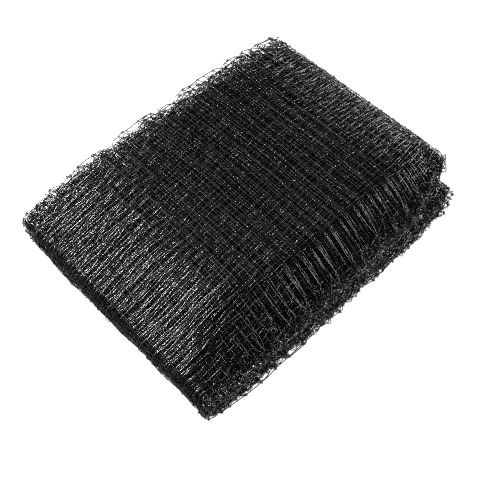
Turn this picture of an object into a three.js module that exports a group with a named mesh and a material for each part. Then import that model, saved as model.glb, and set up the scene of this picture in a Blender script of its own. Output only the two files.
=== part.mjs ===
// A black plastic mesh fence net, folded up and lying on a surface.
//
// The net is pleated across its width into a flat strip a hand's length wide. The strip goes back and
// forth in a long stack of layers, and the stack is bent double. So every layer wraps round the bend at
// one end, and at the other end the folds make two lobes, one above the other, with a slot between them.
//
// Millimetres, +Z up. X runs along the strip, from the bend at -X to the open end at +X. Y runs across
// the strip. The origin is on the surface, under the middle of the folded net.

import * as THREE from 'three';

// Size of the folded net.
const LENGTH = 364;
const HEIGHT = 86;

// The strip, with all its pleats, is one layer. Each layer lies once in the lower half of the pile and
// once in the upper half, and FILL is the share of its room that it takes, the rest being air.
const LAYERS = 9;
const FILL = 0.64;

// The bend at -X: its depth for the outermost layer, how full its corners are, the steps round it, and how
// far it and the open end stand askew in plan at their near and far sides, fading along the pile.
const BEND_DEPTH = 12;
const BEND_POWER = 0.85;
const BEND_STEPS = 8;
const BEND_SKEW = { near: 2.5, far: 4, reach: 40 };
const END_SKEW = { near: 5, far: 0, reach: 90 };

// The folds at the open end, and the share of the half height that the slot between the lobes takes.
const FOLD_STEPS = 4;
const SLOT_AT_BEND = 0.01;
const SLOT_AT_OPEN_END = 0.1;

// Height of the pile along its length: low at the bend, highest past the middle, rolled at the end.
const PROFILE = [
  { along: 0, height: 26 },
  { along: 20, height: 34.5 },
  { along: 35, height: 41 },
  { along: 55, height: 49.5 },
  { along: 75, height: 56 },
  { along: 105, height: 63.5 },
  { along: 135, height: 69.5 },
  { along: 160, height: 74 },
  { along: 200, height: 79 },
  { along: 250, height: 84 },
  { along: 285, height: HEIGHT },
  { along: 310, height: 85.5 },
  { along: 332, height: 83.5 },
  { along: 350, height: 80.5 },
  { along: LENGTH, height: 77 },
];

// The sides of the pile in plan, along its length, and the share of the height that is lost at each side,
// where the pile slumps and rolls over. It is wider at the bend than at the open end. The last column
// widens the roll of the near side.
const OUTLINE = [
  { along: 0, near: -146, far: 159, nearDrop: 0.2, farDrop: 0.04, nearRoll: 1.2 },
  { along: 32, near: -148, far: 154, nearDrop: 0.52, farDrop: 0.05, nearRoll: 1.5 },
  { along: 75, near: -147, far: 151, nearDrop: 0.58, farDrop: 0.07, nearRoll: 1.4 },
  { along: 115, near: -146, far: 148, nearDrop: 0.52, farDrop: 0.08, nearRoll: 1.1 },
  { along: 165, near: -146, far: 145, nearDrop: 0.48, farDrop: 0.08, nearRoll: 1 },
  { along: 250, near: -142, far: 139, nearDrop: 0.48, farDrop: 0.07, nearRoll: 1 },
  { along: 305, near: -140, far: 138, nearDrop: 0.4, farDrop: 0.06, nearRoll: 1 },
  { along: 340, near: -136, far: 136, nearDrop: 0.16, farDrop: 0.05, nearRoll: 1 },
  { along: LENGTH, near: -134, far: 132, nearDrop: 0, farDrop: 0.05, nearRoll: 1 },
];

// How the loss fades in from a side.
const ROLL = [
  { inward: 0, drop: 1 },
  { inward: 8, drop: 0.74 },
  { inward: 20, drop: 0.44 },
  { inward: 34, drop: 0.16 },
  { inward: 50, drop: 0.03 },
  { inward: 75, drop: 0 },
];

// The near corner of the open end, where the lobes part: how far the layers between them are drawn in and
// raised, how far the upper lobe stands in from the near side, and how far this reaches into the pile.
const NOTCH = { depth: 32, level: 0.64, spread: 0.13 };
const RISE = { height: 6, level: 0.6, spread: 0.25 };
const UPPER_INSET = 14;
const CORNER = { fromNear: 40, fromEnd: 60 };

// One row for each layer, from the outermost to the one at the slot. The ends are how far its fold, or
// its free end, stops short of the open end in each lobe. The sides are how far its edges stand in.
const LAYER_ROWS = [
  { upperEnd: 3, lowerEnd: 14, nearUpper: 2, nearLower: 1.5, farUpper: 2.5, farLower: 4.5 },
  { upperEnd: 3, lowerEnd: 10, nearUpper: 3.5, nearLower: 0, farUpper: 1, farLower: 3 },
  { upperEnd: 0, lowerEnd: 10, nearUpper: 1.5, nearLower: 1, farUpper: 3, farLower: 5 },
  { upperEnd: 0, lowerEnd: 5, nearUpper: 3, nearLower: 2, farUpper: 0, farLower: 2 },
  { upperEnd: 2, lowerEnd: 5, nearUpper: 2, nearLower: 0.5, farUpper: 2, farLower: 4 },
  { upperEnd: 2, lowerEnd: 0, nearUpper: 4.5, nearLower: 2.5, farUpper: 0.5, farLower: 1.5 },
  { upperEnd: 12, lowerEnd: 0, nearUpper: 5, nearLower: 0, farUpper: 3.5, farLower: 3 },
  { upperEnd: 12, lowerEnd: 3, nearUpper: 7.5, nearLower: 2, farUpper: 1.5, farLower: 1 },
  { upperEnd: 20, lowerEnd: 3, nearUpper: 8.5, nearLower: 3, farUpper: 4, farLower: 2.5 },
];

// Broad waves on top of the pile.
const WAVE_HEIGHT = 0.6;
const WAVE_LENGTH_X = 190;
const WAVE_LENGTH_Y = 140;

// Where the layers have points: along each half, measured from the bend, and across the strip as a share.
const UPPER_STATIONS = [38, 72, 115, 170, 240, 304, 334];
const LOWER_STATIONS = [70, 150, 240, 304, 334];
const ACROSS_STATIONS = [0, 0.03, 0.075, 0.14, 0.21, 0.3, 0.44, 0.6, 0.77, 0.89, 0.96, 1];

// A smooth curve through one column of a table, held level past its first and last row.
function readTable(table, place, column, at) {
  const last = table.length - 1;
  if (at <= table[0][place]) return table[0][column];
  if (at >= table[last][place]) return table[last][column];
  const row = table.findIndex((entry) => entry[place] > at) - 1;
  const slope = (index) => {
    const before = table[Math.max(index - 1, 0)];
    const after = table[Math.min(index + 1, last)];
    return (after[column] - before[column]) / (after[place] - before[place]);
  };
  const step = table[row + 1][place] - table[row][place];
  const t = (at - table[row][place]) / step;
  const start = table[row][column];
  const end = table[row + 1][column];
  const rise = t * t * (3 - 2 * t);
  const leave = t * (1 - t) * (1 - t) * slope(row) * step;
  const arrive = t * t * (t - 1) * slope(row + 1) * step;
  return start + (end - start) * rise + leave + arrive;
}

// Height of the pile over a point of the plan.
function pileHeight(along, y) {
  const side = (column) => readTable(OUTLINE, 'along', column, along);
  const lost = (inward) => readTable(ROLL, 'inward', 'drop', inward);
  const nearShare = 1 - side('nearDrop') * lost((y - side('near')) / side('nearRoll'));
  const farShare = 1 - side('farDrop') * lost(side('far') - y);
  const phase = (along / WAVE_LENGTH_X + y / WAVE_LENGTH_Y) * 2 * Math.PI;
  const profile = readTable(PROFILE, 'along', 'height', along) + WAVE_HEIGHT * Math.sin(phase);
  return profile * nearShare * farShare;
}

// A layer's two faces as shares of the half height, counted from the slot: 1 is the outside of the pile.
const outerFace = (layer) => (LAYERS - layer) / LAYERS;
const innerFace = (layer) => outerFace(layer) - FILL / LAYERS;

// The share of the full height at which a face lies, in the upper half (side 1) or the lower half (-1).
function levelOf(face, along, side) {
  const slot = THREE.MathUtils.lerp(SLOT_AT_BEND, SLOT_AT_OPEN_END, along / LENGTH);
  return 0.5 + 0.5 * side * (slot + (1 - slot) * face);
}

// A rung is a cut across the strip at one place of its path: a point on each face in the XZ section,
// and how far the strip's near and far edges stand in there.
function rung(outer, inner, near, far) {
  return { outer, inner, near, far };
}

// The rungs of one layer from its lower end round the bend to its upper end.
function layerRungs(layer) {
  const row = LAYER_ROWS[layer];
  const faces = [outerFace(layer), innerFace(layer)];
  const foldRadius = foldRadii().big;
  const flat = (along, side) => {
    const ends = faces.map((face) => ({ along, level: levelOf(face, along, side) }));
    return side > 0
      ? rung(...ends, row.nearUpper, row.farUpper)
      : rung(...ends, row.nearLower, row.farLower);
  };
  const lower = [...LOWER_STATIONS, LENGTH - row.lowerEnd - foldRadius].reverse();
  const upper = [...UPPER_STATIONS, LENGTH - row.upperEnd - foldRadius];
  const bend = [];
  for (let step = 0; step <= BEND_STEPS; step += 1) {
    const turn = step / BEND_STEPS;
    const angle = (turn - 0.5) * Math.PI;
    const ends = faces.map((face) => {
      const out = Math.abs(Math.cos(angle)) ** BEND_POWER;
      const up = Math.sign(angle) * Math.abs(Math.sin(angle)) ** BEND_POWER;
      const along = BEND_DEPTH * (1 - face * out);
      const reach = levelOf(face, along, 1) - 0.5;
      return { along, level: 0.5 + reach * up };
    });
    const near = THREE.MathUtils.lerp(row.nearLower, row.nearUpper, turn);
    const far = THREE.MathUtils.lerp(row.farLower, row.farUpper, turn);
    bend.push(rung(...ends, near, far));
  }
  return [
    ...lower.map((along) => flat(along, -1)),
    ...bend,
    ...upper.map((along) => flat(along, 1)),
  ];
}

// A fold at the open end turns the strip from one layer into the next, round the air between them.
function foldRadii() {
  const room = (0.5 * HEIGHT) / LAYERS;
  return { big: (room * (1 + FILL)) / 2, small: (room * (1 - FILL)) / 2 };
}

// The rungs inside the fold between a layer and the next one, in the upper (1) or lower (-1) lobe.
function foldRungs(layer, side) {
  const { big, small } = foldRadii();
  const from = LAYER_ROWS[layer];
  const to = LAYER_ROWS[layer + 1];
  const lobe = side > 0 ? 'Upper' : 'Lower';
  const end = side > 0 ? from.upperEnd : from.lowerEnd;
  const middle = (innerFace(layer) + outerFace(layer + 1)) / 2;
  const arcs = [
    { radius: big, reach: outerFace(layer) - middle },
    { radius: small, reach: innerFace(layer) - middle },
  ];
  const rungs = [];
  for (let step = 1; step < FOLD_STEPS; step += 1) {
    const turn = step / FOLD_STEPS;
    const angle = turn * Math.PI;
    const ends = arcs.map(({ radius, reach }) => {
      const along = LENGTH - end - big + radius * Math.sin(angle);
      return { along, level: levelOf(middle + reach * Math.cos(angle), along, side) };
    });
    const near = THREE.MathUtils.lerp(from[`near${lobe}`], to[`near${lobe}`], turn);
    const far = THREE.MathUtils.lerp(from[`far${lobe}`], to[`far${lobe}`], turn);
    rungs.push(rung(...ends, near, far));
  }
  return rungs;
}

// The strip's whole path. It goes round the bend one way in a layer and the other way in the next, so
// the face that is outermost in one layer is the inner face of the next.
function stripRungs() {
  const path = [];
  for (let layer = 0; layer < LAYERS; layer += 1) {
    const forward = layer % 2 === 0;
    const rungs = layerRungs(layer);
    if (!forward) rungs.reverse();
    if (layer < LAYERS - 1) rungs.push(...foldRungs(layer, forward ? 1 : -1));
    rungs.forEach((cut) => {
      const faces = forward ? [cut.outer, cut.inner] : [cut.inner, cut.outer];
      path.push({ faces, near: cut.near, far: cut.far, forward });
    });
  }
  return path;
}

// A bell that is 1 at its middle.
const bell = (distance, spread) => Math.exp(-((distance / spread) ** 2));

// How far the ends of the pile stand askew in plan, at a share of the way across.
function skewOf(along, across) {
  const atBend = BEND_SKEW.near * (1 - across) ** 2 + BEND_SKEW.far * across ** 2;
  const atEnd = THREE.MathUtils.lerp(END_SKEW.near, END_SKEW.far, across);
  const fromBend = Math.max(along, 0) / BEND_SKEW.reach;
  const fromEnd = Math.max(LENGTH - along, 0) / END_SKEW.reach;
  return atBend * Math.exp(-fromBend) + atEnd * Math.exp(-fromEnd);
}

// How the near corner of the open end is shaped: drawn in, moved off the near side, and raised.
function cornerShift(level, along, fromNear) {
  const nearEnd = THREE.MathUtils.clamp(1 - (LENGTH - along) / CORNER.fromEnd, 0, 1);
  const share = bell(fromNear, CORNER.fromNear) * nearEnd;
  const upper = THREE.MathUtils.clamp((level - 0.5) / 0.1, 0, 1);
  // The underside stays flat.
  const offFloor = THREE.MathUtils.clamp(level / 0.2, 0, 1);
  return {
    x: -NOTCH.depth * bell(level - NOTCH.level, NOTCH.spread) * share,
    y: UPPER_INSET * upper * share,
    z: RISE.height * bell(level - RISE.level, RISE.spread) * offFloor * share,
  };
}

// A point of the strip: one face of a rung at a share of the way from the near to the far edge.
function stripPoint(cut, face, across) {
  const { along, level } = cut.faces[face];
  const near = readTable(OUTLINE, 'along', 'near', along) + cut.near;
  const far = readTable(OUTLINE, 'along', 'far', along) - cut.far;
  const y = THREE.MathUtils.lerp(near, far, across);
  const shift = cornerShift(level, along, y - near);
  const x = along - LENGTH / 2 + skewOf(along, across) + shift.x;
  return [x, y + shift.y, level * pileHeight(along, y) + shift.z];
}

// The closed solid of the strip: both faces, the near and far edges, and the two free ends.
function stripGeometry() {
  const path = stripRungs();
  const columns = ACROSS_STATIONS.length;
  const positions = [];
  path.forEach((cut) => {
    ACROSS_STATIONS.forEach((across) => {
      positions.push(...stripPoint(cut, 0, across), ...stripPoint(cut, 1, across));
    });
  });
  const at = (step, column, face) => (step * columns + column) * 2 + face;
  const triangles = [];
  // A four-sided patch, parted along its first and third corners, or along the other two.
  const patch = (a, b, c, d, firstAndThird = true) => {
    if (firstAndThird) triangles.push(a, c, b, a, d, c);
    else triangles.push(a, d, b, b, d, c);
  };
  const lastColumn = columns - 1;
  const lastStep = path.length - 1;
  for (let step = 0; step < lastStep; step += 1) {
    const next = step + 1;
    // Patches that face each other across a gap are parted the same way, so that they stay apart.
    const { forward } = path[step];
    for (let column = 0; column < lastColumn; column += 1) {
      const right = column + 1;
      patch(at(step, column, 0), at(step, right, 0), at(next, right, 0), at(next, column, 0), forward);
      patch(at(step, column, 1), at(next, column, 1), at(next, right, 1), at(step, right, 1), forward);
    }
    patch(at(step, 0, 0), at(next, 0, 0), at(next, 0, 1), at(step, 0, 1));
    const far = lastColumn;
    patch(at(step, far, 0), at(step, far, 1), at(next, far, 1), at(next, far, 0));
  }
  for (let column = 0; column < lastColumn; column += 1) {
    const right = column + 1;
    patch(at(0, column, 0), at(0, column, 1), at(0, right, 1), at(0, right, 0));
    patch(at(lastStep, column, 0), at(lastStep, right, 0), at(lastStep, right, 1), at(lastStep, column, 1));
  }
  const geometry = new THREE.BufferGeometry();
  geometry.setAttribute('position', new THREE.Float32BufferAttribute(positions, 3));
  geometry.setIndex(triangles);
  return geometry;
}

// Sets a geometry on the surface, over the origin.
function settle(geometry) {
  geometry.computeBoundingBox();
  const { min, max } = geometry.boundingBox;
  geometry.translate(-(min.x + max.x) / 2, -(min.y + max.y) / 2, -min.z);
  geometry.computeVertexNormals();
  return geometry;
}

const blackPlastic = new THREE.MeshStandardMaterial({ color: 0x141517, roughness: 0.38, metalness: 0 });

const foldedNet = new THREE.Mesh(settle(stripGeometry()), blackPlastic);
foldedNet.name = 'folded_net';

const fencing = new THREE.Group();
fencing.name = 'mesh_fencing';
fencing.add(foldedNet);

export default fencing;
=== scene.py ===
"""A black plastic mesh fence net, pleated, folded and bent double into a flat pack.

The net is laid out flat first: strands along it and strands across it, with a knot at each crossing. Each
point of the flat net is then carried to its place in the pack, so that a strand runs through all pleats,
layers and bends. Sizes are in millimetres until a mesh is made, which is in metres.
"""

import logging
import math
from dataclasses import dataclass, field
from enum import Enum
from typing import ClassVar

import bmesh
import bpy
import numpy as np
from mathutils import Euler, Matrix, Vector


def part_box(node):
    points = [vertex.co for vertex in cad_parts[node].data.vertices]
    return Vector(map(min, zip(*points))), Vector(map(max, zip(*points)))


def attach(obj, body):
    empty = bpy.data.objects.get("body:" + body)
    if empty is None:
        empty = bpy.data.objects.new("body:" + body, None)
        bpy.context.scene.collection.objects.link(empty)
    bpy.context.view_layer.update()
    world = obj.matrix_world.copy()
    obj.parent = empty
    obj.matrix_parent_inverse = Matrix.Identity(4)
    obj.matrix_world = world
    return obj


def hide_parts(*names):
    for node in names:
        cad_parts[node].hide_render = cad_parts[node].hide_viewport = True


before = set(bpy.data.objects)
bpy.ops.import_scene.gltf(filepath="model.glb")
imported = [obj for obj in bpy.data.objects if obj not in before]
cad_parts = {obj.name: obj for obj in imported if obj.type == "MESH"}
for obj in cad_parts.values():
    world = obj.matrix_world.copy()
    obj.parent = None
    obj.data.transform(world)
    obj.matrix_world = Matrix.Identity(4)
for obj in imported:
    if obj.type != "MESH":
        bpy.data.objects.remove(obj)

LOG = logging.getLogger("mesh_fencing")
MM = 0.001
NODE = "folded_net"
BODY = "root"
NO_LENGTH = 1e-9
SLACK = 1e-6
PLACE_DIGITS = 4
Colour = tuple[float, float, float, float]


def unit(vectors: np.ndarray) -> np.ndarray:
    """Gives vectors at a length of one."""
    return vectors / (np.linalg.norm(vectors, axis=-1, keepdims=True) + NO_LENGTH)


class Half(Enum):
    """The two halves of the pile that the bend joins."""

    UPPER = 1
    LOWER = -1


class Run(Enum):
    """The two directions of strands, with the axis that stays square to each of them."""

    ALONG = (0.0, 1.0, 0.0)
    ACROSS = (1.0, 0.0, 0.0)


@dataclass(frozen=True)
class SizeTable:
    """A short table of sizes, with a smooth curve through each column.

    The first column is the place that the others are read at.
    """

    columns: tuple[str, ...]
    rows: tuple[tuple[float, ...], ...]

    def read(self, column: str, at: np.ndarray) -> np.ndarray:
        """Reads a column at some places, held level past the first and last row.

        Args:
            column: Name of the column.
            at: Places, in the units of the first column.

        Returns:
            The column's values at those places.
        """
        grid = np.array(self.rows)
        place = grid[:, 0]
        value = grid[:, self.columns.index(column)]
        before = np.maximum(np.arange(len(place)) - 1, 0)
        after = np.minimum(np.arange(len(place)) + 1, len(place) - 1)
        slope = (value[after] - value[before]) / (place[after] - place[before])
        held = np.clip(at, place[0], place[-1])
        row = np.clip(np.searchsorted(place, held, side="right") - 1, 0, len(place) - 2)
        step = place[row + 1] - place[row]
        t = (held - place[row]) / step
        rise = t * t * (3 - 2 * t)
        leave = t * (1 - t) ** 2 * slope[row] * step
        arrive = t * t * (t - 1) * slope[row + 1] * step
        return value[row] + (value[row + 1] - value[row]) * rise + leave + arrive


@dataclass(frozen=True)
class Ripple:
    """A smooth seeded unevenness over the flat net, made of a few waves."""

    amount: float
    shortest: float
    longest: float
    seed: int
    waves: int = 9

    def at(self, walked: np.ndarray, across: np.ndarray) -> np.ndarray:
        """Reads the unevenness at points of the flat net.

        Args:
            walked: Distance along the net.
            across: Distance across the net.

        Returns:
            Values that spread by about the amount to either side of zero.
        """
        rng = np.random.default_rng(self.seed)
        length = np.exp(rng.uniform(math.log(self.shortest), math.log(self.longest), self.waves))
        heading = rng.uniform(0.0, math.tau, self.waves)
        phase = rng.uniform(0.0, math.tau, self.waves)
        total = np.zeros(np.broadcast(walked, across).shape)
        for wave in range(self.waves):
            way = walked * math.cos(heading[wave]) + across * math.sin(heading[wave])
            total += np.sin(math.tau * way / length[wave] + phase[wave])
        return self.amount * total / math.sqrt(self.waves / 2)


@dataclass(frozen=True)
class LayerRow:
    """How far one layer's folds and edges stand in from the pile's own ends and sides."""

    upper_end: float
    lower_end: float
    near_upper: float
    near_lower: float
    far_upper: float
    far_lower: float

    def short(self, half: Half) -> float:
        """Gives how far the fold of one half stands in from the open end."""
        return self.upper_end if half is Half.UPPER else self.lower_end

    def sides(self, half: Half) -> tuple[float, float]:
        """Gives how far the near and the far edge of one half stand in."""
        upper = half is Half.UPPER
        return (self.near_upper, self.far_upper) if upper else (self.near_lower, self.far_lower)


@dataclass(frozen=True)
class PileForm:
    """The outer form of the pack and the room of each layer, close to those of the CAD solid."""

    length: float = 364.0
    height: float = 86.0
    bend_depth: float = 7.0
    slot_at_bend: float = 0.01
    slot_at_open_end: float = 0.1
    wave_height: float = 0.6
    wave_length_x: float = 190.0
    wave_length_y: float = 140.0
    leftmost: float = -180.39
    nearest: float = -147.14
    profile: SizeTable = SizeTable(
        ("along", "height"),
        (
            (0, 26),
            (20, 34.2),
            (40, 42.3),
            (60, 50.4),
            (80, 57.8),
            (95, 61.8),
            (115, 65.8),
            (135, 69.3),
            (160, 73.6),
            (200, 79),
            (250, 84),
            (285, 86),
            (310, 85.5),
            (332, 83.5),
            (350, 80.5),
            (364, 77),
        ),
    )
    outline: SizeTable = SizeTable(
        ("along", "near", "far", "near_drop", "far_drop", "near_roll"),
        (
            (0, -146, 155, 0.2, 0.02, 0.8),
            (32, -148, 152.5, 0.48, 0.02, 1.25),
            (75, -147, 149, 0.54, 0.02, 1.5),
            (115, -146, 145.5, 0.52, 0.02, 1.35),
            (165, -146, 142.5, 0.48, 0.02, 1.1),
            (250, -142, 136.5, 0.48, 0.02, 1.0),
            (305, -140, 135.5, 0.42, 0.02, 1.0),
            (340, -136, 134, 0.23, 0.02, 1.0),
            (364, -134, 130.5, 0.0, 0.02, 1.0),
        ),
    )
    roll: SizeTable = SizeTable(
        ("inward", "drop"),
        ((0, 1), (8, 0.74), (20, 0.45), (36, 0.13), (44, 0.02), (58, 0.002), (75, 0)),
    )
    layer_rows: tuple[LayerRow, ...] = (
        LayerRow(3, 14, 2, 1.5, 2.5, 4.5),
        LayerRow(3, 10, 3.5, 0, 1, 3),
        LayerRow(0, 10, 1.5, 1, 3, 5),
        LayerRow(0, 5, 3, 2, 0, 2),
        LayerRow(2, 5, 2, 0.5, 2, 4),
        LayerRow(2, 0, 4.5, 2.5, 0.5, 1.5),
        LayerRow(12, 0, 5, 0, 3.5, 3),
        LayerRow(12, 3, 7.5, 2, 1.5, 1),
        LayerRow(20, 3, 8.5, 3, 4, 2.5),
    )

    @property
    def layers(self) -> int:
        """Number of layers of the strip."""
        return len(self.layer_rows)

    def height_over(self, along: np.ndarray, y: np.ndarray) -> np.ndarray:
        """Gives the pile's height over points of the plan.

        Args:
            along: Distance from the bend.
            y: Distance across the pile.

        Returns:
            Heights over the floor.
        """
        near = self.outline.read("near", along)
        far = self.outline.read("far", along)
        near_in = (y - near) / self.outline.read("near_roll", along)
        near_lost = self.outline.read("near_drop", along) * self.roll.read("drop", near_in)
        far_lost = self.outline.read("far_drop", along) * self.roll.read("drop", far - y)
        phase = math.tau * (along / self.wave_length_x + y / self.wave_length_y)
        profile = self.profile.read("height", along) + self.wave_height * np.sin(phase)
        return profile * (1 - near_lost) * (1 - far_lost)

    def level_of(self, face: np.ndarray, along: np.ndarray, half: Half) -> np.ndarray:
        """Gives the share of the full height at which a face of a layer lies.

        Args:
            face: Share of the half height, counted from the slot.
            along: Distance from the bend.
            half: Half of the pile.

        Returns:
            Shares of the full height.
        """
        slot = self.slot_at_bend + (self.slot_at_open_end - self.slot_at_bend) * along / self.length
        return 0.5 + 0.5 * half.value * (slot + (1 - slot) * face)


@dataclass
class StripPath:
    """The way of the pleated strip through the pile, from the bottom layer to the one at the slot."""

    form: PileForm
    fill: float = 0.92
    bend_crowding: float = 0.5
    bend_bulge: float = 1.0
    bend_power: float = 0.85
    fold_crowding: float = 0.12
    step: float = 3.0
    bend_steps: int = 28
    fold_steps: int = 12
    flat_spacing: float = 30.0
    bend_spacing: float = 7.0
    fold_spacing: float = 4.2
    table: dict[str, np.ndarray] = field(default_factory=dict)
    layer_ends: list[float] = field(default_factory=list)

    NAMES: ClassVar[tuple[str, ...]] = (
        "along_a", "level_a", "along_b", "level_b", "near", "far", "spacing"
    )
    TURNED_OVER: ClassVar[tuple[str, ...]] = (
        "along_b", "level_b", "along_a", "level_a", "near", "far", "spacing"
    )

    def faces(self, layer: int) -> tuple[float, float]:
        """Gives a layer's outer and inner face as shares of the half height."""
        outer = (self.form.layers - layer) / self.form.layers
        return outer, outer - self.fill / self.form.layers

    def fold_radii(self) -> tuple[float, float]:
        """Gives the outer and inner radius of the folds at the open end."""
        room = 0.5 * self.form.height / self.form.layers
        return room * (1 + self.fill) / 2, room * (1 - self.fill) / 2

    def flat(self, layer: int, half: Half) -> np.ndarray:
        """Walks one half of a layer from the bend to its fold.

        Args:
            layer: Number of the layer, from the outermost.
            half: Half of the pile.

        Returns:
            Rows of the path table.
        """
        row = self.form.layer_rows[layer]
        reach = self.form.length - row.short(half) - self.fold_radii()[0]
        count = round((reach - self.form.bend_depth) / self.step)
        along = np.linspace(self.form.bend_depth, reach, count)
        level_a, level_b = (self.form.level_of(face, along, half) for face in self.faces(layer))
        even = [np.full(count, value) for value in (*row.sides(half), self.flat_spacing)]
        return np.stack([along, level_a, along, level_b, *even], axis=1)

    def bend(self, layer: int) -> np.ndarray:
        """Walks the bend of a layer from the lower half to the upper one.

        Args:
            layer: Number of the layer, from the outermost.

        Returns:
            Rows of the path table.
        """
        row = self.form.layer_rows[layer]
        turn = np.linspace(0.0, 1.0, self.bend_steps + 1)[1:-1]
        angle = (turn - 0.5) * math.pi
        out = np.cos(angle) ** self.bend_power
        up = np.sign(angle) * np.abs(np.sin(angle)) ** self.bend_power
        columns = []
        for face in self.faces(layer):
            along = self.form.bend_depth * (1 - face**self.bend_crowding * out)
            reach = self.form.level_of(face, along, Half.UPPER) - 0.5
            columns += [along - self.bend_bulge * face * out, 0.5 + reach * up]
        columns += self._sides(turn, row.sides(Half.LOWER), row.sides(Half.UPPER), self.bend_spacing)
        return np.stack(columns, axis=1)

    def fold(self, layer: int, half: Half) -> np.ndarray:
        """Walks the fold at the open end from a layer to the next one.

        Args:
            layer: Number of the layer that the fold starts from.
            half: Half of the pile.

        Returns:
            Rows of the path table.
        """
        big, small = self.fold_radii()
        row, after = self.form.layer_rows[layer], self.form.layer_rows[layer + 1]
        turn = np.linspace(0.0, 1.0, self.fold_steps + 1)[1:-1]
        angle = turn * math.pi
        outer, inner = self.faces(layer)
        middle = (inner + self.faces(layer + 1)[0]) / 2
        columns = []
        for radius, reach in ((big, outer - middle), (small, inner - middle)):
            swing = big * (radius / big) ** self.fold_crowding
            along = self.form.length - row.short(half) - big + swing * np.sin(angle)
            columns += [along, self.form.level_of(middle + reach * np.cos(angle), along, half)]
        columns += self._sides(turn, row.sides(half), after.sides(half), self.fold_spacing)
        return np.stack(columns, axis=1)

    @staticmethod
    def _sides(
        turn: np.ndarray, start: tuple[float, float], end: tuple[float, float], spacing: float
    ) -> list[np.ndarray]:
        """Gives the last three columns of a turn, in which both edges pass from one place to another.

        Args:
            turn: Share of the turn at each of its steps.
            start: Near and far edge before the turn.
            end: Near and far edge after the turn.
            spacing: Widest spacing of the rings in the turn.

        Returns:
            The near, far and spacing columns.
        """
        edges = [before + (after - before) * turn for before, after in zip(start, end)]
        return [*edges, np.full_like(turn, spacing)]

    def walk(self) -> None:
        """Joins all layers and folds in order, and measures the way along the middle of the strip."""
        parts, ends = [], []
        swap = [self.NAMES.index(name) for name in self.TURNED_OVER]
        for layer in range(self.form.layers):
            forward = layer % 2 == 0
            rows = np.concatenate(
                [self.flat(layer, Half.LOWER)[::-1], self.bend(layer), self.flat(layer, Half.UPPER)]
            )
            parts.append(rows if forward else rows[::-1][:, swap])
            if layer < self.form.layers - 1:
                turn = self.fold(layer, Half.UPPER if forward else Half.LOWER)
                parts.append(turn if forward else turn[:, swap])
            ends.append(sum(len(part) for part in parts) - self.fold_steps // 2)
        rows = np.concatenate(parts)
        along = (rows[:, 0] + rows[:, 2]) / 2
        height = (rows[:, 1] + rows[:, 3]) / 2 * self.form.height_over(along, np.zeros(len(along)))
        strides = np.hypot(np.diff(along), np.diff(height))
        walked = np.concatenate([[0.0], np.cumsum(strides)])
        self.table = {name: rows[:, place] for place, name in enumerate(self.NAMES)}
        self.table["walked"] = walked
        self.layer_ends = [float(walked[end]) for end in ends[:-1]] + [float(walked[-1])]

    @property
    def length(self) -> float:
        """Length of the strip along its middle."""
        return float(self.table["walked"][-1])

    def read(self, name: str, walked: np.ndarray) -> np.ndarray:
        """Reads a column of the path at distances along the strip."""
        return np.interp(walked, self.table["walked"], self.table[name])


@dataclass(frozen=True)
class Placed:
    """Points of the net in the pack, and the number of plies that lie over each."""

    points: np.ndarray
    cover: np.ndarray

    def some(self, chosen: np.ndarray) -> "Placed":
        """Gives the chosen points alone."""
        return Placed(self.points[chosen], self.cover[chosen])


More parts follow.
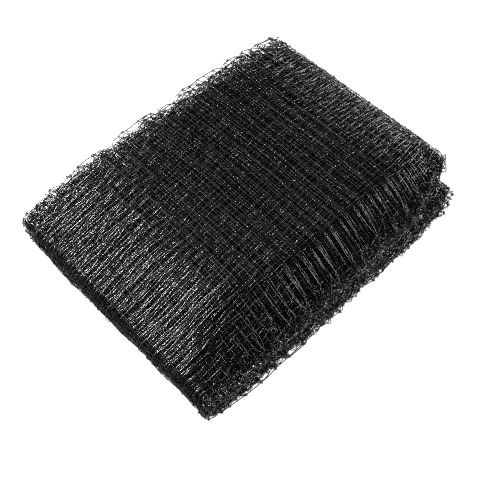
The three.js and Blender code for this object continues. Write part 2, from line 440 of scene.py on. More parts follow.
@dataclass
class StrandBundle:
    """Collects the faces of strands and knots, and makes one mesh object of them."""

    points: list[np.ndarray] = field(default_factory=list)
    quads: list[np.ndarray] = field(default_factory=list)
    triangles: list[np.ndarray] = field(default_factory=list)
    quad_maps: list[np.ndarray] = field(default_factory=list)
    triangle_maps: list[np.ndarray] = field(default_factory=list)
    covers: list[np.ndarray] = field(default_factory=list)
    knot_shares: list[np.ndarray] = field(default_factory=list)
    count: int = 0

    SIDES: ClassVar[int] = 3

    def _add_points(self, points: np.ndarray, cover: np.ndarray, knot_share: float) -> int:
        """Adds points.

        Args:
            points: Points, with a last axis of three.
            cover: Number of plies over each point.
            knot_share: One on a knot and zero on a strand.

        Returns:
            The number of the first point.
        """
        first = self.count
        self.points.append(points.reshape(-1, 3))
        self.covers.append(cover.ravel())
        self.knot_shares.append(np.full(cover.size, knot_share))
        self.count += cover.size
        return first

    def add_strands(
        self, placed: Placed, radius: np.ndarray, run: Run, flat: np.ndarray, ribbon: float
    ) -> None:
        """Adds round strands along lines of points.

        Args:
            placed: Points of each strand, with shape (strands, points, 3).
            radius: Radius at each point, with shape (strands, points) or one that fits it.
            run: Direction of the strands.
            flat: Place of each point on the texture map, with shape (strands, points, 2).
            ribbon: Width of a strand on the texture map.
        """
        lines = placed.points
        strands, rings, _ = lines.shape
        tangent = unit(np.gradient(lines, axis=1))
        square = np.array(run.value)
        normal = unit(square - tangent * (tangent @ square)[..., None])
        other = np.cross(tangent, normal)
        angles = math.tau * np.arange(self.SIDES) / self.SIDES
        spokes = [normal * math.cos(a) + other * math.sin(a) for a in angles]
        points = lines[:, :, None, :] + np.stack(spokes, axis=2) * radius[..., None, None]
        first = self._add_points(points, np.repeat(placed.cover, self.SIDES), 0.0)
        index = first + np.arange(strands * rings * self.SIDES).reshape(strands, rings, self.SIDES)
        offset = (np.arange(self.SIDES + 1) / self.SIDES - 0.5) * ribbon
        aside = square[:2]
        for side in range(self.SIDES):
            after = (side + 1) % self.SIDES
            here, there = index[:, :-1, side], index[:, 1:, side]
            here_after, there_after = index[:, :-1, after], index[:, 1:, after]
            quad = np.stack([here, here_after, there_after, there], axis=-1)
            self.quads.append(quad.reshape(-1, 4))
            low = flat + aside * offset[side]
            high = flat + aside * offset[side + 1]
            on_map = np.stack([low[:, :-1], high[:, :-1], high[:, 1:], low[:, 1:]], axis=2)
            self.quad_maps.append(on_map.reshape(-1, 2))
        self._add_caps(index, flat, ribbon)

    def _add_caps(self, index: np.ndarray, flat: np.ndarray, ribbon: float) -> None:
        """Closes both ends of each strand with a triangle.

        Args:
            index: Numbers of the points, with shape (strands, rings, sides).
            flat: Place of each ring on the texture map.
            ribbon: Width of a strand on the texture map.
        """
        corner = np.array([[-0.5, -0.5], [0.5, -0.5], [0.0, 0.5]]) * ribbon
        ends = ((index[:, 0, ::-1], flat[:, 0]), (index[:, -1], flat[:, -1]))
        for triangle, middle in ends:
            self.triangles.append(triangle)
            self.triangle_maps.append((middle[:, None, :] + corner).reshape(-1, 2))

    def add_knots(
        self, placed: Placed, axes: tuple[np.ndarray, ...], flat: np.ndarray, ribbon: float
    ) -> None:
        """Adds a small eight-sided knot at each crossing.

        Args:
            placed: Middles of the knots, with shape (knots, 3).
            axes: Three half axes of each knot, each with shape (knots, 3).
            flat: Place of each knot on the texture map.
            ribbon: Width of a knot on the texture map.
        """
        east, north, up = axes
        sides = (east, north, -east, -north)
        tips = (*sides, up, -up)
        top, bottom = len(sides), len(sides) + 1
        points = np.stack([placed.points + tip for tip in tips], axis=1)
        first = self._add_points(points, np.repeat(placed.cover, len(tips)), 1.0)
        index = first + np.arange(placed.cover.size * len(tips)).reshape(-1, len(tips))
        corners = np.array([[1.0, 0.0], [0.0, 1.0], [-1.0, 0.0], [0.0, -1.0]]) * ribbon
        centre = np.zeros(2)
        for side in range(len(sides)):
            after = (side + 1) % len(sides)
            for start, end, tip in ((side, after, top), (after, side, bottom)):
                self.triangles.append(index[:, [start, end, tip]])
                patch = np.stack([corners[start], corners[end], centre])
                self.triangle_maps.append((flat[:, None, :] + patch).reshape(-1, 2))

    def make(self, name: str, limits: tuple[float, ...]) -> bpy.types.Object:
        """Makes the mesh object.

        Args:
            name: Name of the object.
            limits: Most plies over the faces that take each material, in order; faces under more plies
                take a copy with painted shade.

        Returns:
            The object, at the origin, in metres.
        """
        points = np.concatenate(self.points) * MM
        quads, triangles = np.concatenate(self.quads), np.concatenate(self.triangles)
        corners = np.concatenate([quads.ravel(), triangles.ravel()])
        sizes = np.concatenate([np.full(len(quads), 4), np.full(len(triangles), 3)])
        starts = np.concatenate([[0], np.cumsum(sizes)[:-1]])
        mesh = bpy.data.meshes.new(name)
        mesh.vertices.add(len(points))
        mesh.vertices.foreach_set("co", points.astype(np.float32).ravel())
        mesh.loops.add(len(corners))
        mesh.loops.foreach_set("vertex_index", corners.astype(np.int32))
        mesh.polygons.add(len(sizes))
        mesh.polygons.foreach_set("loop_start", starts.astype(np.int32))
        # Faces under more plies take the darker, duller copies of the plastic: painted shade for the
        # depth of the pack.
        cover = np.concatenate(self.covers)[corners[starts]]
        finish = np.searchsorted(np.array(limits), cover)
        mesh.polygons.foreach_set("material_index", finish.astype(np.int32))
        on_map = np.concatenate(self.quad_maps + self.triangle_maps)
        layer = mesh.uv_layers.new(name="OFBake")
        layer.data.foreach_set("uv", np.clip(on_map, 0.0, 1.0).astype(np.float32).ravel())
        attribute = mesh.attributes.new("knot", "FLOAT", "POINT")
        attribute.data.foreach_set("value", np.concatenate(self.knot_shares).astype(np.float32))
        mesh.update(calc_edges=True)
        mesh.shade_smooth()
        piece = bpy.data.objects.new(name, mesh)
        bpy.context.scene.collection.objects.link(piece)
        triangle_count = 2 * len(quads) + len(triangles)
        LOG.info("%s: %d triangles", name, triangle_count)
        return piece


@dataclass(frozen=True)
class FlatMap:
    """The texture map of one layer: the flat net itself, with strands as ribbons."""

    first: float
    last: float
    width: float
    margin: float = 0.03
    ribbon_share: float = 0.45
    knot_share: float = 0.2

    @property
    def length(self) -> float:
        """Length of the layer along the net."""
        return self.last - self.first

    def at(self, walked: np.ndarray, across: np.ndarray) -> np.ndarray:
        """Gives the places of points of the flat net on the map.

        Args:
            walked: Distance along the net.
            across: Distance across the net.

        Returns:
            Places on the map, with a last axis of two.
        """
        flat = np.stack(np.broadcast_arrays(walked - self.first, across), axis=-1)
        flat = flat / np.array([self.length, self.width])
        return self.margin + (1 - 2 * self.margin) * flat


@dataclass(frozen=True)
class BlackPlastic:
    """Extruded black plastic: near black and glossy; the copies for strands deep in the pack are darker
    and duller, as painted shade.
    """

    name: str = "extruded_black_plastic"
    plies: float = 6.0
    dark: Colour = (0.0015, 0.0015, 0.0016, 1.0)
    light: Colour = (0.004, 0.004, 0.0043, 1.0)
    knot_tint: Colour = (0.006, 0.006, 0.0063, 1.0)
    smooth: float = 0.18
    dull: float = 0.26
    patch_scale: float = 38.0
    patch_detail: float = 3.0
    patch_range: tuple[float, float] = (0.34, 0.68)
    grain_scale: float = 260.0
    grain_detail: float = 2.0
    grain_range: tuple[float, float] = (0.3, 0.7)
    grain_strength: float = 0.06
    grain_height: float = 0.1
    specular: float = 0.5

    def make(self) -> bpy.types.Material:
        """Makes the material.

        Returns:
            A node material that reads Object coordinates and the knot attribute.
        """
        material = bpy.data.materials.new(self.name)
        material.use_nodes = True
        tree = material.node_tree
        shader = tree.nodes["Principled BSDF"]
        shader.inputs["Specular IOR Level"].default_value = self.specular
        self._colour(tree, shader, self._noise(tree, self.patch_scale, self.patch_detail))
        self._roughen(tree, shader, self._noise(tree, self.grain_scale, self.grain_detail))
        return material

    @staticmethod
    def _noise(tree: bpy.types.NodeTree, scale: float, detail: float) -> bpy.types.Node:
        """Adds a noise that reads Object coordinates.

        Args:
            tree: Node tree of the material.
            scale: Scale of the noise.
            detail: Detail of the noise.

        Returns:
            The node of the noise.
        """
        place = tree.nodes.new("ShaderNodeTexCoord")
        noise = tree.nodes.new("ShaderNodeTexNoise")
        noise.inputs["Scale"].default_value = scale
        noise.inputs["Detail"].default_value = detail
        tree.links.new(place.outputs["Object"], noise.inputs["Vector"])
        return noise

    def _colour(
        self, tree: bpy.types.NodeTree, shader: bpy.types.Node, patches: bpy.types.Node
    ) -> None:
        """Colours the strands in patches, and the knots in their own tint.

        Args:
            tree: Node tree of the material.
            shader: Shader that takes the colour.
            patches: Noise of the patches.
        """
        colour = tree.nodes.new("ShaderNodeValToRGB")
        stops = zip(colour.color_ramp.elements, self.patch_range, (self.dark, self.light))
        for stop, position, tone in stops:
            stop.position = position
            stop.color = tone
        tree.links.new(patches.outputs["Fac"], colour.inputs["Fac"])
        knot = tree.nodes.new("ShaderNodeAttribute")
        knot.attribute_name = "knot"
        tint = tree.nodes.new("ShaderNodeMix")
        tint.data_type = "RGBA"
        tint.inputs["B"].default_value = self.knot_tint
        tree.links.new(knot.outputs["Fac"], tint.inputs["Factor"])
        tree.links.new(colour.outputs["Color"], tint.inputs["A"])
        tree.links.new(tint.outputs["Result"], shader.inputs["Base Color"])

    def _roughen(
        self, tree: bpy.types.NodeTree, shader: bpy.types.Node, grain: bpy.types.Node
    ) -> None:
        """Gives the strands their uneven gloss and a fine grain.

        Args:
            tree: Node tree of the material.
            shader: Shader that takes the gloss and the grain.
            grain: Noise of the grain.
        """
        gloss = tree.nodes.new("ShaderNodeMapRange")
        gloss.inputs["From Min"].default_value = self.grain_range[0]
        gloss.inputs["From Max"].default_value = self.grain_range[1]
        gloss.inputs["To Min"].default_value = self.smooth
        gloss.inputs["To Max"].default_value = self.dull
        tree.links.new(grain.outputs["Fac"], gloss.inputs["Value"])
        tree.links.new(gloss.outputs["Result"], shader.inputs["Roughness"])
        bump = tree.nodes.new("ShaderNodeBump")
        bump.inputs["Strength"].default_value = self.grain_strength
        bump.inputs["Distance"].default_value = self.grain_height * MM
        tree.links.new(grain.outputs["Fac"], bump.inputs["Height"])
        tree.links.new(bump.outputs["Normal"], shader.inputs["Normal"])


# The plastic itself, then two darker and duller copies for strands under more plies: painted shade for
# the depth of the pack.
FINISH_AND_PAINTED_SHADES = (
    BlackPlastic(),
    BlackPlastic(
        name="painted_shade_black_plastic",
        plies=11.0,
        dark=(0.001, 0.001, 0.0011, 1.0),
        light=(0.0025, 0.0025, 0.0027, 1.0),
        knot_tint=(0.003, 0.003, 0.0032, 1.0),
        smooth=0.22,
        dull=0.32,
        specular=0.15,
    ),
    BlackPlastic(
        name="painted_deep_shade_black_plastic",
        plies=math.inf,
        dark=(0.001, 0.001, 0.0011, 1.0),
        light=(0.002, 0.002, 0.0021, 1.0),
        knot_tint=(0.0022, 0.0022, 0.0023, 1.0),
        smooth=0.4,
        dull=0.55,
        specular=0.03,
    ),
)


@dataclass(frozen=True)
class Spot:
    """Where points of the flat net lie in the strip, before its loose edges are shaped.

    The share is the part of the way from the near edge of the strip to the far one.
    """

    along: np.ndarray
    level: np.ndarray
    near: np.ndarray
    far: np.ndarray
    share: np.ndarray

    @property
    def from_near(self) -> np.ndarray:
        """Distance from the near edge."""
        return self.share * (self.far - self.near)

    @property
    def from_far(self) -> np.ndarray:
        """Distance from the far edge."""
        return (1 - self.share) * (self.far - self.near)

    @property
    def inward(self) -> np.ndarray:
        """Distance from the nearest edge."""
        return np.minimum(self.from_near, self.from_far)


@dataclass
class FoldedNet:
    """The net, as strands and knots, carried from the flat into the folded pack."""

    form: PileForm
    path: StripPath
    # The plastic and its copies with painted shade for strands deep in the pack.
    finish_and_shades: tuple[BlackPlastic, ...] = FINISH_AND_PAINTED_SHADES
    # The flat net, its strands and its knots.
    pleats: int = 8
    mesh_along: float = 20.6
    mesh_across: float = 17.6
    cells_per_pleat: float = 16.3125
    strand_radius: float = 0.45
    knot_long: float = 1.05
    knot_wide: float = 0.85
    edge_strand_growth: float = 0.3
    edge_knot_growth: float = 1.4
    edge_knot_reach: float = 14.0
    lowest: float = 2.6
    # How a pleat turns into the next one, and how far the pleats have slipped.
    pleat_turn: float = 6.0
    slip_turn: float = 18.0
    slip_share: float = 0.85
    slip_step: float = 0.382
    turn_rings: tuple[float, ...] = (-9.0, -5.0, -2.0, 0.0, 2.0, 5.0, 9.0)
    spots_per_cell: int = 9
    pleat_round: float = 2.0
    loop_swell: float = 2.2
    loop_length: float = 6.0
    lift_reach: float = 18.0
    # How finely each part of the net is built.
    knot_cover: float = 12.0
    fine_layers: int = 2
    fine_spacing: float = 5.2
    edge_spacing: float = 6.9
    edge_strands: float = 10.0
    fine_parts_across: int = 3
    # How strands ride over each other, and how sideways cover counts in plies, which picks the painted
    # shade of the strands.
    weave_along: float = 0.58
    weave_across: float = 0.28
    weave_change: Ripple = Ripple(0.6, 40.0, 200.0, 24)
    side_ply: float = 0.8
    bend_shade_offset: float = 7.0
    # How far pleat edges reach out, and how far both ends are out of square.
    near_base: float = 1.0
    far_base: float = 8.5
    far_furthest: float = 7.5
    near_furthest: float = 3.5
    reach_length: float = 20.0
    far_skew: float = 4.0
    far_corner: float = 4.5
    far_corner_reach: float = 9.0
    near_skew: float = 2.5
    skew_length: float = 40.0
    end_skew: float = 5.0
    end_skew_length: float = 90.0
    # The net's own loose edge at the near foot.
    loose_bow: float = 7.0
    loose_from: float = 2.0
    loose_to: float = 190.0
    loose_power: float = 0.7
    loose_width: float = 9.0
    loose_calm: float = 30.0
    # The unevenness of the net, and the tangle at its edges and its bend.
    drift_along: Ripple = Ripple(1.4, 220.0, 800.0, 11)
    drift_across: Ripple = Ripple(1.3, 70.0, 220.0, 12)
    drift_reach: float = 60.0
    lift: Ripple = Ripple(0.5, 60.0, 220.0, 13)
    crumple_x: Ripple = Ripple(0.2, 24.0, 80.0, 14)
    crumple_y: Ripple = Ripple(0.25, 24.0, 80.0, 15)
    crumple_z: Ripple = Ripple(0.2, 24.0, 80.0, 16)
    near_reach: Ripple = Ripple(2.6, 40.0, 160.0, 17)
    far_reach: Ripple = Ripple(13.5, 32.0, 200.0, 18)
    loop_lift: Ripple = Ripple(1.6, 22.0, 90.0, 19)
    tangle_x: Ripple = Ripple(2.2, 16.0, 60.0, 21)
    tangle_y: Ripple = Ripple(2.0, 16.0, 60.0, 22)
    tangle_z: Ripple = Ripple(0.9, 16.0, 60.0, 23)
    tangle_reach: float = 16.0
    far_tangle: float = 0.15
    bend_tangle: Ripple = Ripple(1.1, 14.0, 50.0, 25)
    bend_tangle_reach: float = 5.0
    # The near corner of the open end, where the two lobes part.
    notch_depth: float = 46.0
    notch_rise: float = 6.0
    notch_level: float = 0.66
    notch_spread: float = 0.13
    rise_level: float = 0.6
    rise_spread: float = 0.25
    notch_reach: float = 40.0
    notch_length: float = 60.0
    upper_inset: float = 14.0
    inset_rise: float = 0.1
    shift: tuple[float, float] = (0.0, 0.0)

    @property
    def pleat_width(self) -> float:
        """Width of the flat net between two pleat edges."""
        return self.cells_per_pleat * self.mesh_across

    @property
    def net_width(self) -> float:
        """Width of the flat net."""
        return self.pleats * self.pleat_width

    def _pleat_of(self, across: np.ndarray) -> np.ndarray:
        """Gives the number of the pleat that points lie in."""
        return np.clip(np.floor(across / self.pleat_width), 0, self.pleats - 1)

    def _edge_reach(self, walked: np.ndarray, across: np.ndarray) -> tuple[np.ndarray, np.ndarray]:
        """Gives how far the loops of a pleat reach out past its near and far edge.

        Args:
            walked: Distance along the net.
            across: Distance across the net.

        Returns:
            The reach at the near and the far edge.
        """
        pleat = self._pleat_of(across)
        even = pleat % 2 == 0
        near_edge = np.where(even, pleat, pleat + 1) * self.pleat_width
        far_edge = np.where(even, pleat + 1, pleat) * self.pleat_width
        near_out = np.abs(self.near_reach.at(walked, near_edge)) - self.near_base
        far_out = np.abs(self.far_reach.at(walked, far_edge)) - self.far_base
        return near_out, np.minimum(far_out, self.far_furthest)

    def _cover(self, spot: Spot) -> np.ndarray:
        """Gives about how many plies lie over points, from whichever side has the fewest.

        Args:
            spot: The points in the strip.

        Returns:
            Numbers of plies.
        """
        plies = 2 * self.form.layers * self.pleats
        over = np.minimum(spot.level, 1 - spot.level) * plies
        # Strands at the bend count a few millimetres of cover, so that they take some painted shade.
        to_ends = np.minimum(spot.along + self.bend_shade_offset, self.form.length - spot.along)
        beside = np.maximum(np.minimum(spot.inward, to_ends), 0.0) / self.side_ply
        return np.minimum(over, beside)

    def _pleat_at(self, across: np.ndarray, turn: float) -> np.ndarray:
        """Gives the number of the pleat at points, passing smoothly to the next one at each edge.

        Args:
            across: Distance across the net.
            turn: Distance to either side of an edge over which the number changes.

        Returns:
            Numbers of pleats, with fractions near the edges.
        """
        edge = np.clip(np.round(across / self.pleat_width), 1, self.pleats - 1)
        share = np.clip((across - edge * self.pleat_width) / (2 * turn) + 0.5, 0.0, 1.0)
        return edge - 1 + share * share * (3 - 2 * share)

    def _slip(self, across: np.ndarray) -> np.ndarray:
        """Gives how far each pleat has slipped along the strip, so that the cells don't line up.

        Args:
            across: Distance across the net.

        Returns:
            Distances along the strip.
        """
        pleat = np.arange(self.pleats)
        slips = ((pleat * self.slip_step) % 1.0 - 0.5) * self.slip_share * self.mesh_along
        return np.interp(self._pleat_at(across, self.slip_turn), pleat, slips)

    def place(self, walked: np.ndarray, across: np.ndarray) -> Placed:
        """Carries points of the flat net to their places in the pack.

        Args:
            walked: Distance along the net.
            across: Distance across the net.

        Returns:
            The points, with a last axis of three, and the plies over them.
        """
        walked, across = np.broadcast_arrays(walked, across)
        spot = self._spot_at(walked, across)
        on_far_half = spot.from_far < spot.from_near
        unrest = self._calm(walked, across) * np.where(on_far_half, self.far_tangle, 1.0)
        tangle = unrest * np.exp(-((spot.inward / self.tangle_reach) ** 2))
        drawn_in, raised, inset = self._notch(spot)
        at_bend, at_end = self._skew(spot)
        round_bend = np.exp(-np.maximum(spot.along, 0.0) / self.bend_tangle_reach)

        x = spot.along - self.form.length / 2 - drawn_in + at_bend + at_end
        x = x + self.crumple_x.at(walked, across) + tangle * self.tangle_x.at(walked, across)
        x = x + round_bend * self.bend_tangle.at(walked, across) + self.shift[0]

        y = self._side_at(walked, across, spot)
        z = spot.level * self.form.height_over(spot.along, y)
        z = z + unrest * self._loose_edges(walked, across, spot.inward) + raised
        z = z + self.crumple_z.at(walked, across) + tangle * self.tangle_z.at(walked, across)
        z = z + self.lift.at(walked, across) + self._weave(walked, across)

        y = y + inset + self.crumple_y.at(walked, across) + tangle * self.tangle_y.at(walked, across)
        y = np.maximum(y, spot.near - self.near_furthest)
        y = y - self._loose_selvedge(walked, across, spot.along) + self.shift[1]
        points = np.stack([x, y, np.maximum(z, self.lowest)], axis=-1)
        return Placed(points, self._cover(spot))

    def _spot_at(self, walked: np.ndarray, across: np.ndarray) -> Spot:
        """Finds points of the flat net in the strip.

        Args:
            walked: Distance along the net.
            across: Distance across the net.

        Returns:
            The points in the strip.
        """
        drift = self.drift_along.at(walked, across) + self._slip(across)
        here = np.clip(walked + drift, 0.0, self.path.length)
        depth = (self._pleat_at(across, self.pleat_turn) + 0.5) / self.pleats
        along_a, along_b = self.path.read("along_a", here), self.path.read("along_b", here)
        level_a, level_b = self.path.read("level_a", here), self.path.read("level_b", here)
        along = along_b + (along_a - along_b) * depth
        level = level_b + (level_a - level_b) * depth
        near = self.form.outline.read("near", along) + self.path.read("near", here)
        far = self.form.outline.read("far", along) - self.path.read("far", here)
        pleat = self._pleat_of(across)
        share = across / self.pleat_width - pleat
        return Spot(along, level, near, far, np.where(pleat % 2 == 0, share, 1 - share))

    def _side_at(self, walked: np.ndarray, across: np.ndarray, spot: Spot) -> np.ndarray:
        """Gives the places of points across the pack, with round pleat edges and uneven reach.

        Args:
            walked: Distance along the net.
            across: Distance across the net.
            spot: The same points in the strip.

        Returns:
            Distances across the pack.
        """
        near_out, far_out = self._edge_reach(walked, across)
        y = spot.near + spot.from_near
        y = y - self._rounded_off(spot.from_near) + self._rounded_off(spot.from_far)
        y = y + far_out * np.exp(-spot.from_far / self.reach_length)
        calm = self._calm(walked, across)
        y = y - calm * near_out * np.exp(-spot.from_near / self.reach_length)
        middle = np.clip(spot.inward / self.drift_reach, 0.0, 1.0)
        return y + middle * self.drift_across.at(walked, across)

    def _skew(self, spot: Spot) -> tuple[np.ndarray, np.ndarray]:
        """Gives how far the pack is out of square at the bend and at the open end.

        Args:
            spot: The points in the strip.

        Returns:
            Distances away from the bend, for either end.
        """
        skew = self.far_skew * spot.share**2 + self.near_skew * (1 - spot.share) ** 2
        skew = skew + self.far_corner * np.exp(-spot.from_far / self.far_corner_reach)
        at_bend = skew * np.exp(-np.maximum(spot.along, 0.0) / self.skew_length)
        to_end = np.maximum(self.form.length - spot.along, 0.0)
        return at_bend, self.end_skew * (1 - spot.share) * np.exp(-to_end / self.end_skew_length)

    def _weave(self, walked: np.ndarray, across: np.ndarray) -> np.ndarray:
        """Gives how far both kinds of strands ride up at their crossings and sag between them.

        Args:
            walked: Distance along the net.
            across: Distance across the net.

        Returns:
            Offsets in height.
        """
        change = 1 + self.weave_change.at(walked, across)
        along = self.weave_along * np.cos(math.tau * walked / self.mesh_along)
        return change * (along + self.weave_across * np.cos(math.tau * across / self.mesh_across))

    def _notch(self, spot: Spot) -> tuple[np.ndarray, np.ndarray, np.ndarray]:
        """Gives how the near corner of the open end is shaped, where the two lobes part.

        Args:
            spot: The points in the strip.

        Returns:
            Distances towards the bend between the lobes, upwards, and away from the near side.
        """
        corner = np.exp(-((spot.from_near / self.notch_reach) ** 2))
        corner = corner * np.clip(1 - (self.form.length - spot.along) / self.notch_length, 0.0, 1.0)
        between = np.exp(-(((spot.level - self.notch_level) / self.notch_spread) ** 2))
        middle = np.exp(-(((spot.level - self.rise_level) / self.rise_spread) ** 2))
        upper = np.clip((spot.level - 0.5) / self.inset_rise, 0.0, 1.0)
        drawn_in, raised = self.notch_depth * between, self.notch_rise * middle
        return drawn_in * corner, raised * corner, self.upper_inset * upper * corner

    def _loose_selvedge(self, walked: np.ndarray, across: np.ndarray, along: np.ndarray) -> np.ndarray:
        """Gives how far the net's own edge bows out at the foot of the near side.

        Args:
            walked: Distance along the net.
            across: Distance across the net.
            along: Distance from the bend.

        Returns:
            Distances towards the near side.
        """
        share = np.clip((along - self.loose_from) / (self.loose_to - self.loose_from), 0.0, 1.0)
        bow = self.loose_bow * np.sin(math.pi * share**self.loose_power)
        lowest_half = walked < self.form.length - self.loose_from
        return np.where(lowest_half, bow, 0.0) * np.exp(-across / self.loose_width)

    def _calm(self, walked: np.ndarray, across: np.ndarray) -> np.ndarray:
        """Gives the share of the tangle that is left, which is none on the loose edge of the net."""
        lowest_half = walked < self.form.length
        return np.where(lowest_half, 1 - np.exp(-((across / self.loose_calm) ** 2)), 1.0)

    def _rounded_off(self, distance: np.ndarray) -> np.ndarray:
        """Gives what a round pleat edge takes off a straight run at some distance from the edge."""
        return distance - np.hypot(distance, self.pleat_round) + self.pleat_round

    def _loose_edges(self, walked: np.ndarray, across: np.ndarray, inward: np.ndarray) -> np.ndarray:
        """Gives the rise and fall of the springy loops at the pleat edges.

        Args:
            walked: Distance along the net.
            across: Distance across the net.
            inward: Distance from the nearest pleat edge.

        Returns:
            Offsets in height.
        """
        edge = np.round(across / self.pleat_width)
        above = np.where(across > edge * self.pleat_width, 1.0, -1.0)
        swell = self.loop_swell * inward / self.loop_length * np.exp(1 - inward / self.loop_length)
        lift = self.loop_lift.at(walked, edge * self.pleat_width)
        return above * swell + lift * np.exp(-inward / self.lift_reach)

    def _is_upper(self, walked: np.ndarray) -> np.ndarray:
        """Tells which distances along the net lie in the upper half of the pile, which shows most."""
        return self.path.read("level_a", walked) > 0.5

    def _rings_along(self, first: float, last: float, upper: float, lower: float) -> np.ndarray:
        """Gives the places of the rings on the lengthwise strands, closer where the strip turns.

        Args:
            first: Start of the stretch.
            last: End of the stretch.
            upper: Widest spacing of the rings in the upper half of the pile.
            lower: Widest spacing of the rings in the lower half.

        Returns:
            Distances along the net, both ends among them.
        """
        places = [first, last]
        for cell in range(int(first // self.mesh_along), int(last // self.mesh_along) + 1):
            spots = (cell + np.linspace(0.0, 1.0, self.spots_per_cell)) * self.mesh_along
            widest = upper if self._is_upper(spots).any() else lower
            closest = min(self.path.read("spacing", spots).min(), widest)
            parts = math.ceil(self.mesh_along / closest)
            places += [(cell + part / parts) * self.mesh_along for part in range(parts)]
        inside = [place for place in places if first <= place <= last]
        return np.unique(np.round(inside, PLACE_DIGITS))

    def _rings_across(self, parts: int) -> np.ndarray:
        """Gives the places of the rings on the crosswise strands, closer round each pleat edge.

        Args:
            parts: Number of stretches between two crossings.

        Returns:
            Distances across the net.
        """
        rings = np.arange(0.0, self.net_width, self.mesh_across / parts)
        last = math.floor(rings[-1] / self.mesh_across + SLACK) * self.mesh_across
        edges = np.arange(1, self.pleats) * self.pleat_width
        turns = (edges[:, None] + np.array(self.turn_rings)).ravel()
        rings = np.unique(np.concatenate([rings, turns]))
        return rings[rings <= last + SLACK]

    def _from_edge(self, across: np.ndarray) -> np.ndarray:
        """Gives the distance of points to the nearest pleat edge, on the flat net."""
        return np.abs(across - np.round(across / self.pleat_width) * self.pleat_width)

    def _radius(self, across: np.ndarray) -> np.ndarray:
        """Gives the radius of strands, a little more at the pleat edges, where two often lie together."""
        near_edge = np.exp(-((self._from_edge(across) / self.edge_knot_reach) ** 2))
        return self.strand_radius * (1 + self.edge_strand_growth * near_edge)

    def _knot_axes(self, walked: np.ndarray, across: np.ndarray) -> tuple[np.ndarray, ...]:
        """Gives the three half axes of knots, along the two strands and square to them.

        Args:
            walked: Distance of each knot along the net.
            across: Distance of each knot across the net.

        Returns:
            Half axes along the net, across it, and out of it.
        """
        nudge = 1.0
        centres = self.place(walked, across).points
        east = unit(self.place(walked + nudge, across).points - centres)
        north = unit(self.place(walked, across + nudge).points - centres)
        out = unit(np.cross(east, north))
        near_edge = np.exp(-((self._from_edge(across) / self.edge_knot_reach) ** 2))
        size = 1 + self.edge_knot_growth * near_edge[:, None]
        return east * self.knot_long * size, north * self.knot_wide * size, out * self.knot_wide * size

    def build_layer(self, layer: int) -> bpy.types.Object:
        """Builds the strands and knots of one layer of the strip, with all its pleats.

        Args:
            layer: Number of the layer, from the outermost.

        Returns:
            The mesh object.
        """
        first = self.path.layer_ends[layer - 1] if layer else 0.0
        last = self.path.layer_ends[layer]
        flat_map = FlatMap(first, last, self.net_width)
        lines_across = np.arange(0.0, self.net_width, self.mesh_across)
        steps = np.arange(math.ceil(first / self.mesh_along), math.ceil(last / self.mesh_along))
        lines_along = steps * self.mesh_along
        fine = layer < self.fine_layers
        bundle = StrandBundle()
        self._lay_along(bundle, flat_map, lines_across, fine)
        self._lay_across(bundle, flat_map, lines_along, fine)
        self._lay_knots(bundle, flat_map, lines_along, lines_across)
        return bundle.make(f"net_layer_{layer + 1}", tuple(finish.plies for finish in self.finish_and_shades))

    def _lay_along(self, bundle: StrandBundle, flat_map: FlatMap, lines: np.ndarray, fine: bool) -> None:
        """Lays the lengthwise strands of a layer.

        Args:
            bundle: Bundle that takes the strands.
            flat_map: Texture map of the layer.
            lines: Distance of each strand across the net.
            fine: Whether the layer shows from close by.
        """
        widest = self.fine_spacing if fine else self.path.flat_spacing
        at_edge = self._from_edge(lines) < self.edge_strands
        spacings = (widest, self.path.flat_spacing), (min(widest, self.edge_spacing), self.edge_spacing)
        ribbon = flat_map.ribbon_share * self.mesh_across / self.net_width
        for chosen, (upper, lower) in zip((~at_edge, at_edge), spacings):
            walked = self._rings_along(flat_map.first, flat_map.last, upper, lower)[None, :]
            across = lines[chosen, None]
            placed = self.place(walked, across)
            on_map = flat_map.at(walked, across)
            bundle.add_strands(placed, self._radius(across), Run.ALONG, on_map, ribbon)

    def _lay_across(self, bundle: StrandBundle, flat_map: FlatMap, lines: np.ndarray, fine: bool) -> None:
        """Lays the crosswise strands of a layer.

        Args:
            bundle: Bundle that takes the strands.
            flat_map: Texture map of the layer.
            lines: Distance of each strand along the net.
            fine: Whether the layer shows from close by.
        """
        upper = self._is_upper(lines)
        ribbon = flat_map.ribbon_share * self.mesh_along / flat_map.length
        for chosen, parts in ((upper, self.fine_parts_across if fine else 1), (~upper, 1)):
            walked, across = lines[chosen, None], self._rings_across(parts)[None, :]
            placed = self.place(walked, across)
            on_map = flat_map.at(walked, across)
            bundle.add_strands(placed, self._radius(across), Run.ACROSS, on_map, ribbon)

    def _lay_knots(
        self, bundle: StrandBundle, flat_map: FlatMap, lines_along: np.ndarray, lines_across: np.ndarray
    ) -> None:
        """Lays the knots of a layer that show.

        Args:
            bundle: Bundle that takes the knots.
            flat_map: Texture map of the layer.
            lines_along: Distance of each crosswise strand along the net.
            lines_across: Distance of each lengthwise strand across the net.
        """
        walked, across = (grid.ravel() for grid in np.meshgrid(lines_along, lines_across))
        placed = self.place(walked, across)
        seen = placed.cover < self.knot_cover
        walked, across = walked[seen], across[seen]
        ribbon = flat_map.knot_share * self.mesh_across / self.net_width
        axes = self._knot_axes(walked, across)
        bundle.add_knots(placed.some(seen), axes, flat_map.at(walked, across), ribbon)

    def build(self) -> list[bpy.types.Object]:
        """Builds every layer of the net.

        Returns:
            One object for each layer.
        """
        return [self.build_layer(layer) for layer in range(self.form.layers)]

    def dress(self, pieces: list[bpy.types.Object]) -> None:
        """Gives the layers their plastic with its painted-shade copies and their body, and hides the CAD
        solid that they stand for.

        Args:
            pieces: Objects of the layers.
        """
        materials = [finish.make() for finish in self.finish_and_shades]
        for piece in pieces:
            for material in materials:
                piece.data.materials.append(material)
            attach(piece, BODY)
            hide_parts(NODE)


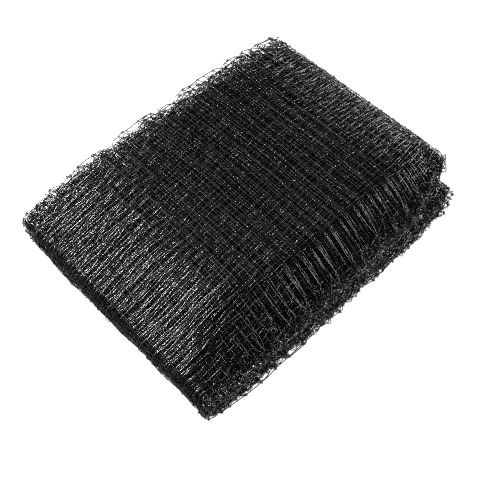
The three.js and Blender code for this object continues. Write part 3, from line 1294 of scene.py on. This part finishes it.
@dataclass(frozen=True)
class WhiteFloor:
    """A white light table, as bright under the pack as beside it."""

    name: str = "light_table"
    tone: Colour = (0.04, 0.04, 0.04, 1.0)
    light: Colour = (1.0, 1.0, 1.0, 1.0)
    glow: float = 0.97
    roughness: float = 0.8

    def make(self) -> bpy.types.Material:
        """Makes the material.

        Returns:
            A node material that glows evenly.
        """
        material = bpy.data.materials.new(self.name)
        material.use_nodes = True
        shader = material.node_tree.nodes["Principled BSDF"]
        shader.inputs["Base Color"].default_value = self.tone
        shader.inputs["Roughness"].default_value = self.roughness
        shader.inputs["Emission Color"].default_value = self.light
        shader.inputs["Emission Strength"].default_value = self.glow
        material.cycles.emission_sampling = "NONE"
        return material


@dataclass(frozen=True)
class Softbox:
    """A soft lamp that points at the pack, with its sizes along and across the pack."""

    name: str
    place: tuple[float, float, float]
    sizes: tuple[float, float]
    power: float

    def turn(self) -> Euler:
        """Points the lamp at the pack, with its first side along the pack.

        Returns:
            The turn of the lamp.
        """
        back = Vector(self.place).normalized()
        side = Vector((1.0, 0.0, 0.0))
        side = (side - back * side.dot(back)).normalized()
        return Matrix((side, back.cross(side), back)).transposed().to_euler()


@dataclass
class Studio:
    """The camera, the white table and the soft lights."""

    camera_place: tuple[float, float, float] = (-0.4526, -0.4983, 0.9020)
    camera_azimuth: float = -43.0
    camera_elevation: float = 54.7
    focal_pixels: float = 1033.0
    picture_pixels: float = 500.0
    sensor: float = 36.0
    floor_half: float = 4.0
    world_tone: Colour = (1.0, 1.0, 1.0, 1.0)
    world_strength: float = 0.05
    pixel_filter: float = 1.3
    softboxes: tuple[Softbox, ...] = (
        Softbox("far_softbox", (-0.66, 2.06, 0.79), (1.1, 0.6), 650.0),
        Softbox("near_softbox", (-0.8, -1.45, 1.45), (1.0, 0.4), 50.0),
        Softbox("right_softbox", (1.76, -0.79, 1.06), (0.5, 0.8), 84.0),
        Softbox("rear_softbox", (-1.32, 0.8, 1.56), (1.0, 0.6), 15.5),
    )

    def set_camera(self) -> None:
        """Sets the camera at the viewpoint that fits the two directions of the strands."""
        data = bpy.data.cameras.new("viewpoint")
        data.sensor_fit = "HORIZONTAL"
        data.sensor_width = self.sensor
        data.lens = self.focal_pixels / self.picture_pixels * self.sensor
        camera = bpy.data.objects.new("viewpoint", data)
        camera.location = self.camera_place
        pitch = math.radians(90.0 - self.camera_elevation)
        camera.rotation_euler = (pitch, 0.0, math.radians(self.camera_azimuth))
        bpy.context.scene.collection.objects.link(camera)
        bpy.context.scene.camera = camera

    def lay_floor(self, finish: WhiteFloor) -> None:
        """Lays the table that the pack rests on.

        Args:
            finish: Finish of the table.
        """
        shape = bmesh.new()
        bmesh.ops.create_grid(shape, x_segments=1, y_segments=1, size=self.floor_half)
        mesh = bpy.data.meshes.new("table_top")
        shape.to_mesh(mesh)
        shape.free()
        mesh.materials.append(finish.make())
        floor = bpy.data.objects.new("table_top", mesh)
        bpy.context.scene.collection.objects.link(floor)

    def light(self) -> None:
        """Hangs the softboxes and sets the light of the room."""
        for softbox in self.softboxes:
            data = bpy.data.lights.new(softbox.name, "AREA")
            data.shape = "RECTANGLE"
            data.size, data.size_y = softbox.sizes
            data.energy = softbox.power
            lamp = bpy.data.objects.new(softbox.name, data)
            lamp.location = softbox.place
            lamp.rotation_euler = softbox.turn()
            bpy.context.scene.collection.objects.link(lamp)
        world = bpy.data.worlds.new("room")
        world.use_nodes = True
        background = world.node_tree.nodes["Background"]
        background.inputs["Color"].default_value = self.world_tone
        background.inputs["Strength"].default_value = self.world_strength
        world.cycles.sampling_method = "NONE"
        bpy.context.scene.world = world
        bpy.context.scene.view_settings.view_transform = "Standard"
        # Strands are finer than a pixel: the denoiser and a wide filter would smear them together.
        bpy.context.scene.cycles.use_denoising = False
        bpy.context.scene.cycles.filter_width = self.pixel_filter


def main() -> None:
    """Builds the studio and the net."""
    logging.basicConfig(level=logging.INFO, format="%(name)s: %(message)s")
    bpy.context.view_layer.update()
    studio = Studio()
    studio.set_camera()
    studio.lay_floor(WhiteFloor())
    studio.light()
    form = PileForm()
    path = StripPath(form)
    path.walk()
    low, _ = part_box(NODE)
    net = FoldedNet(form, path, shift=(low[0] / MM - form.leftmost, low[1] / MM - form.nearest))
    LOG.info("flat net: %.2f m by %.2f m", path.length * MM, net.net_width * MM)
    net.dress(net.build())


if __name__ == "__main__":
    main()
